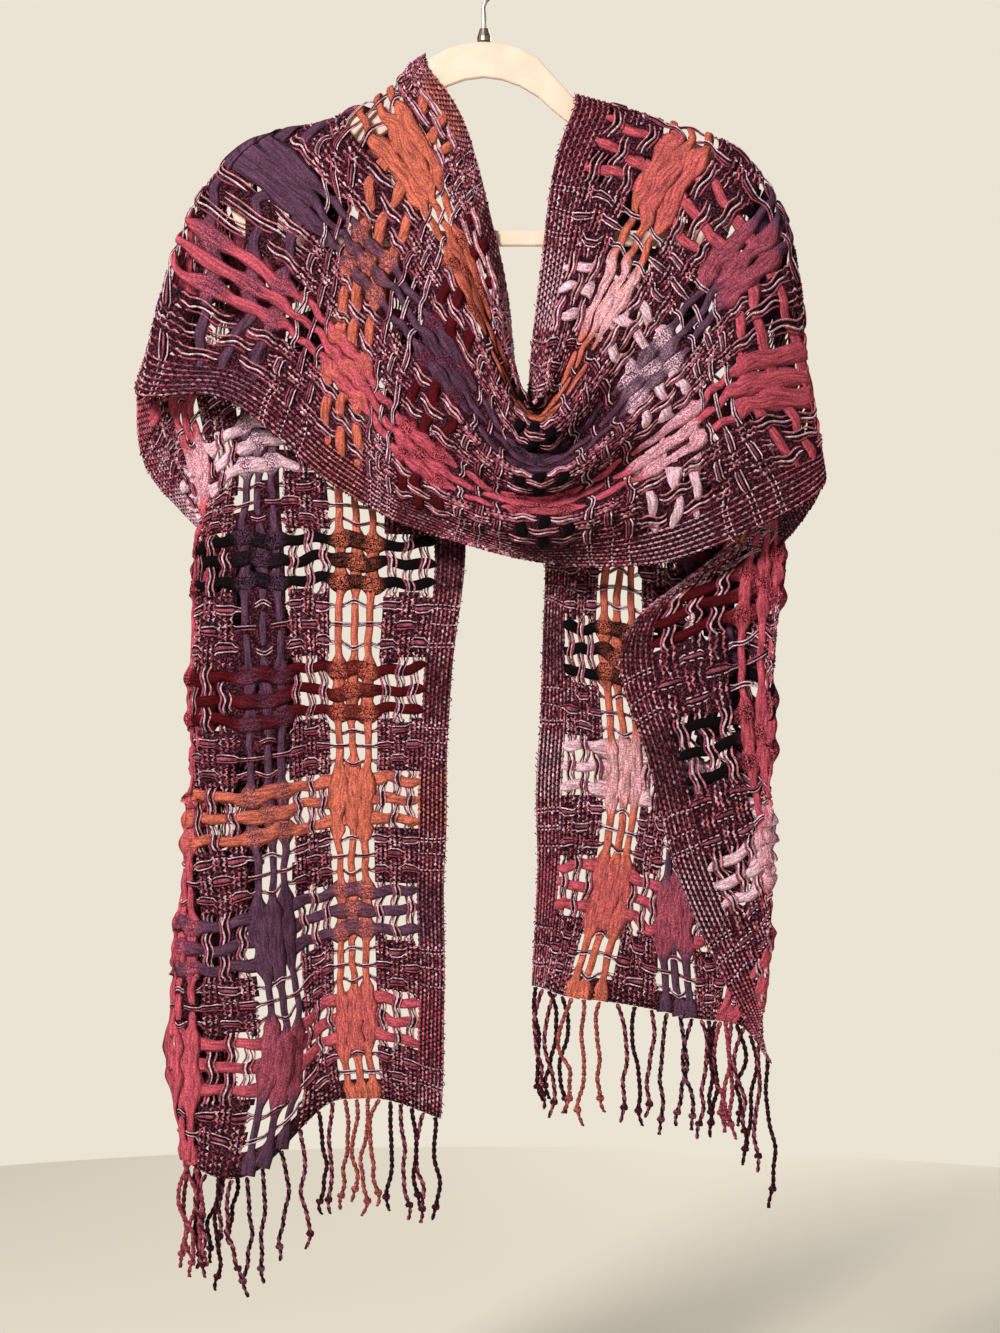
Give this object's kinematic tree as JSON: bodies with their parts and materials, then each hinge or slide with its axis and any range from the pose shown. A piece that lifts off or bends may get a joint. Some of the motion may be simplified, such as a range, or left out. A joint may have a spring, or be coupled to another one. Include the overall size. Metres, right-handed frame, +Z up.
{
  "type": "woven openwork scarf on a clothes hanger",
  "caption": "Long openwork woven scarf with knotted fringed ends, draped over a slim clothes hanger, its middle hanging in front as a cowl and its tails behind.",
  "frame": {"origin": "the bearing point of the hanger's hook: the inner top of its bend, where it rests on a rod", "axes": "+Z up along the hook's stem, +X to the right along the hanger's arms seen from the front, +Y from the front drape towards the tails"},
  "size_m": [0.5224, 0.0962, 1.0278],
  "materials": {
    "cloth": "matte open weave of wool-like cords",
    "fringe": "matte twisted yarn",
    "flock": "short velvety flock over plastic",
    "hook_metal": "satin bronze tone"
  },
  "bodies": {
    "root": {"left_tail": "cloth", "front_drape": "cloth", "right_tail": "cloth", "left_fringe": "fringe", "right_fringe": "fringe", "hanger_body": "flock", "hook_collar": "hook_metal", "hook_wire": "hook_metal"}
  },
  "joints": []
}
